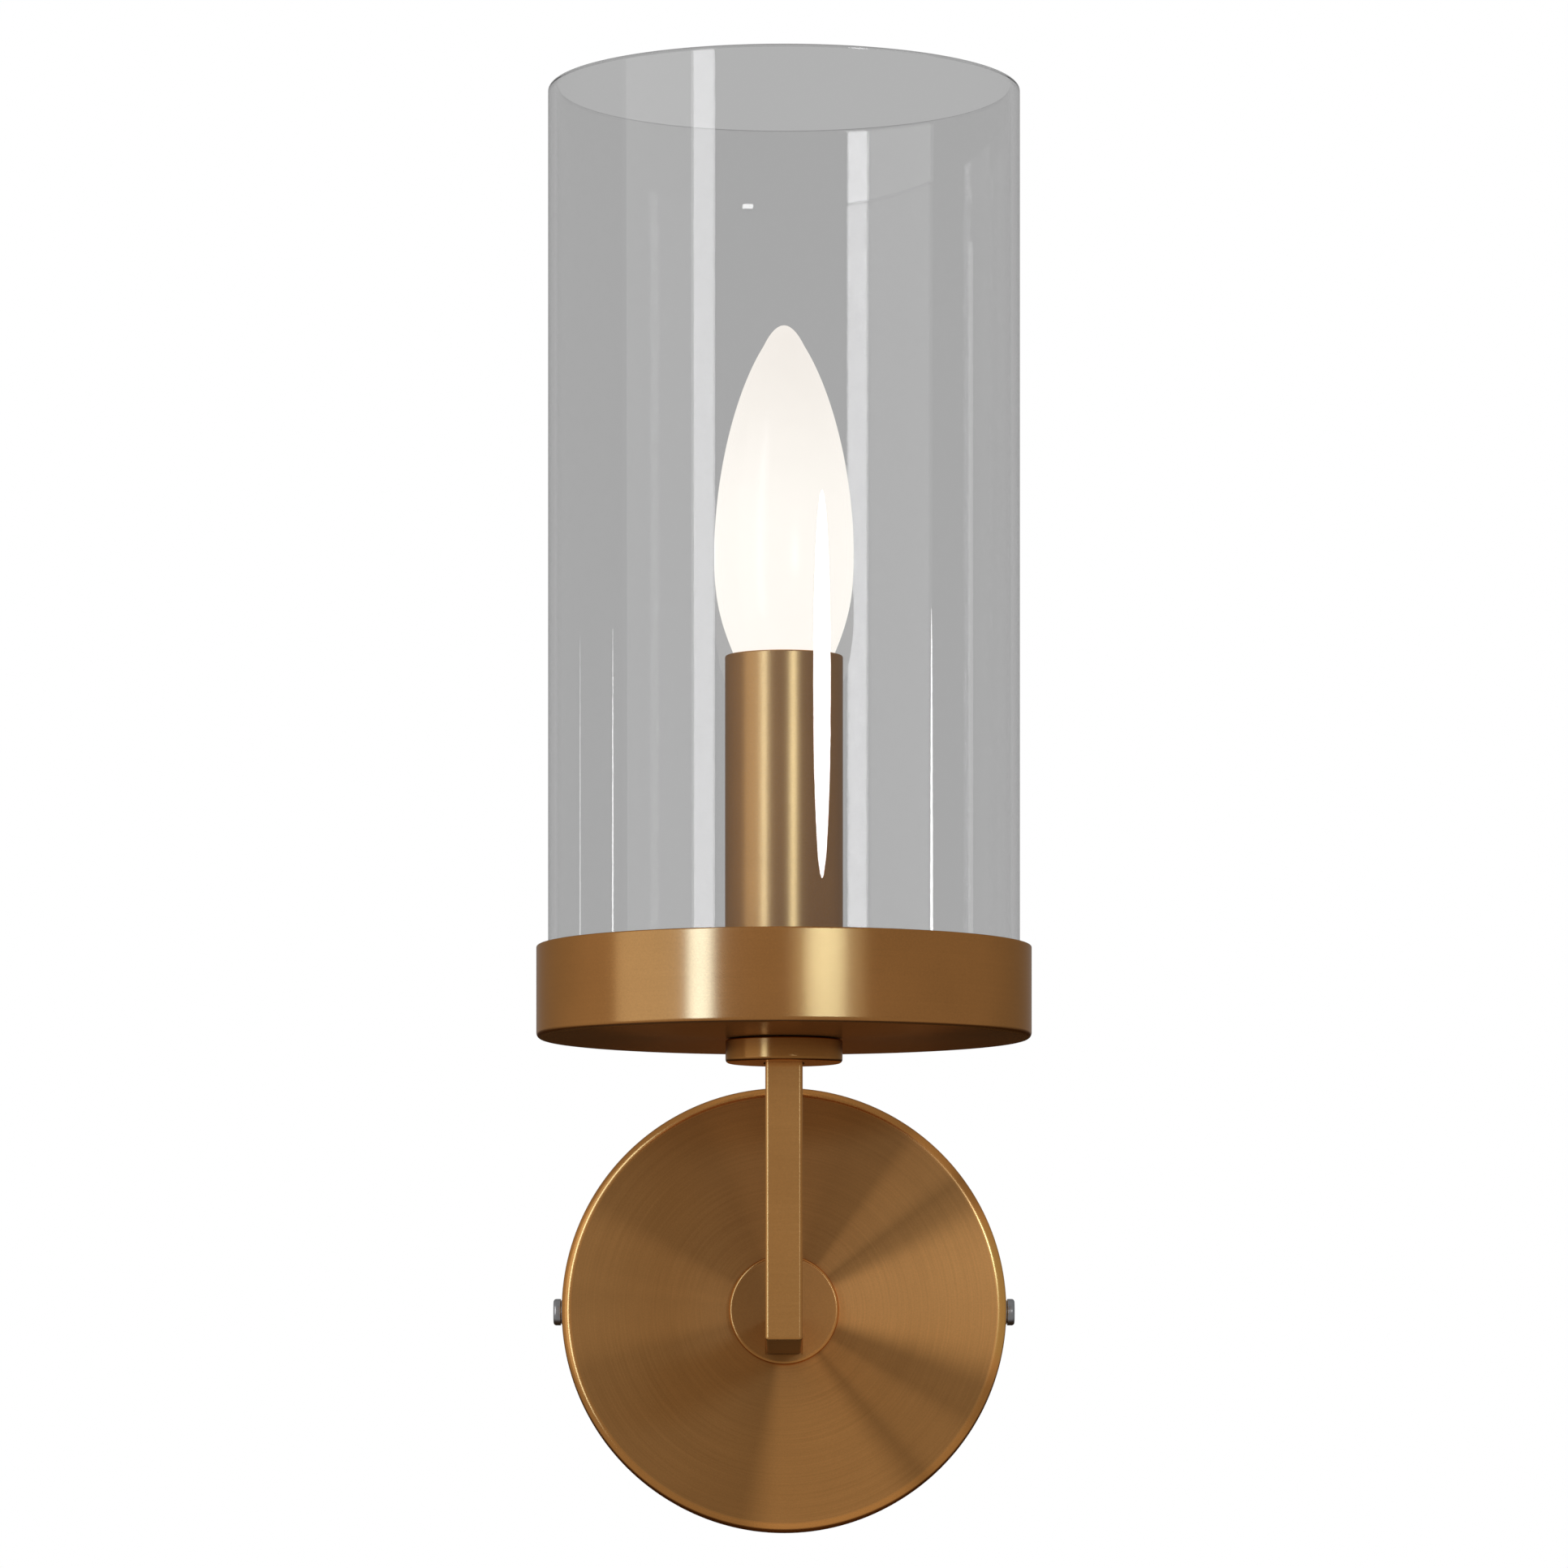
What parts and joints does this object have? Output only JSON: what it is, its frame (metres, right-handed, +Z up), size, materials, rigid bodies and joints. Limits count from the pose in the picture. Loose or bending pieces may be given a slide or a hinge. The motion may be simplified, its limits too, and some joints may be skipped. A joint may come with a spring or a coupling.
{
  "type": "wall light",
  "caption": "Electric wall light: clear glass cylinder on a round brass dish round a candle sleeve and candle bulb, on a square L arm from a round backplate.",
  "frame": {"origin": "centre of the backplate on the wall plane", "axes": "+Z up, +X to the viewer's right, the lamp stands out along -Y, so +Y points into the wall"},
  "size_m": [0.126, 0.2085, 0.3668],
  "materials": {
    "aged_brass": "satin, brushed round",
    "arm_brass": "satin",
    "sleeve_brass": "satin, brushed lengthways",
    "zinc_steel": "zinc plated",
    "side_screw_steel": "satin",
    "shade_glass": "gloss",
    "opal_glass": "satin",
    "stem_glass": "gloss",
    "electrical_brass": "plain",
    "tinned_copper": "tinned",
    "cap_nickel": "nickel plated",
    "cap_black_glass": "gloss",
    "filament_phosphor": "matte",
    "white_plastic": "moulded",
    "liner_card": "matte",
    "seat_silicone": "matte",
    "grommet_rubber": "matte",
    "live_wire_pvc": "satin",
    "neutral_wire_pvc": "satin",
    "earth_wire_pvc": "satin"
  },
  "bodies": {
    "fixture": {"backplate": "aged_brass", "hub": "aged_brass", "collar": "aged_brass", "dish": "aged_brass", "arm_tube": "arm_brass", "wall_bracket": "zinc_steel", "hub_clamp_plate": "zinc_steel", "hub_screw_left": "zinc_steel", "hub_screw_right": "zinc_steel", "stem_tube": "zinc_steel", "dish_washer": "zinc_steel", "dish_nut": "zinc_steel", "holder_nut": "zinc_steel", "terminal_screw_live_top": "zinc_steel", "terminal_screw_live_bottom": "zinc_steel", "terminal_screw_neutral_top": "zinc_steel", "terminal_screw_neutral_bottom": "zinc_steel", "terminal_screw_earth_top": "zinc_steel", "terminal_screw_earth_bottom": "zinc_steel", "screw_shell": "electrical_brass", "holder_live_terminal": "electrical_brass", "holder_neutral_terminal": "electrical_brass", "earth_screw": "electrical_brass", "terminal_barrel_live": "electrical_brass", "terminal_barrel_neutral": "electrical_brass", "terminal_barrel_earth": "electrical_brass", "earth_ring": "tinned_copper", "lampholder_base": "white_plastic", "lampholder_body": "white_plastic", "terminal_block": "white_plastic", "sleeve_liner": "liner_card", "glass_seat_ring": "seat_silicone", "wire_grommet": "grommet_rubber", "live_wire": "live_wire_pvc", "neutral_wire": "neutral_wire_pvc", "earth_wire": "earth_wire_pvc"},
    "shade": {"glass_shade": "shade_glass"},
    "sleeve": {"candle_sleeve": "sleeve_brass"},
    "bulb_core": {"bulb_stem": "stem_glass"},
    "bulb": {"bulb_globe": "opal_glass", "bulb_cap": "cap_nickel", "bulb_cap_insulator": "cap_black_glass", "bulb_contact": "electrical_brass", "led_filament_1": "filament_phosphor", "led_filament_2": "filament_phosphor", "led_filament_3": "filament_phosphor", "led_filament_4": "filament_phosphor"},
    "contact": {"centre_contact": "electrical_brass"},
    "washer_left": {"side_washer_left": "side_screw_steel"},
    "screw_left": {"side_screw_left": "side_screw_steel"},
    "washer_right": {"side_washer_right": "side_screw_steel"},
    "screw_right": {"side_screw_right": "side_screw_steel"}
  },
  "joints": [
    {"name": "shade_lift", "type": "slide", "parent": "fixture", "child": "shade", "axis": [0, 0, 1], "range_m": [0, 0.185]},
    {"name": "sleeve_lift", "type": "slide", "parent": "fixture", "child": "sleeve", "axis": [0, 0, 1], "range_m": [0, 0.0025]},
    {"name": "bulb_rise", "type": "slide", "parent": "fixture", "child": "bulb_core", "axis": [0, 0, 1], "range_m": [0, 0.01411]},
    {"name": "bulb_turn", "type": "hinge", "parent": "bulb_core", "child": "bulb", "pos_m": [0, -0.1455, 0.2], "axis": [0, 0, 1], "range_deg": [0, 1801]},
    {"name": "contact_flex", "type": "hinge", "parent": "fixture", "child": "contact", "pos_m": [0.005, -0.1455, 0.1155], "axis": [0, -1, 0], "range_deg": [0, 6], "stiffness_Nm_per_rad": 0.05},
    {"name": "side_screw_left_out", "type": "slide", "parent": "fixture", "child": "washer_left", "axis": [-1, 0, 0], "range_m": [0, 0.0056]},
    {"name": "side_screw_left_turn", "type": "hinge", "parent": "washer_left", "child": "screw_left", "pos_m": [-0.062, -0.0105, 0], "axis": [-1, 0, 0], "range_deg": [0, 2881]},
    {"name": "side_screw_right_out", "type": "slide", "parent": "fixture", "child": "washer_right", "axis": [1, 0, 0], "range_m": [0, 0.0056]},
    {"name": "side_screw_right_turn", "type": "hinge", "parent": "washer_right", "child": "screw_right", "pos_m": [0.062, -0.0105, 0], "axis": [1, 0, 0], "range_deg": [0, 2881]}
  ],
  "couplings": [
    {"joint": "bulb_turn", "follows": "bulb_rise", "rad_per_m": 2226.5},
    {"joint": "side_screw_left_turn", "follows": "side_screw_left_out", "rad_per_m": 8976},
    {"joint": "side_screw_right_turn", "follows": "side_screw_right_out", "rad_per_m": 8976}
  ]
}
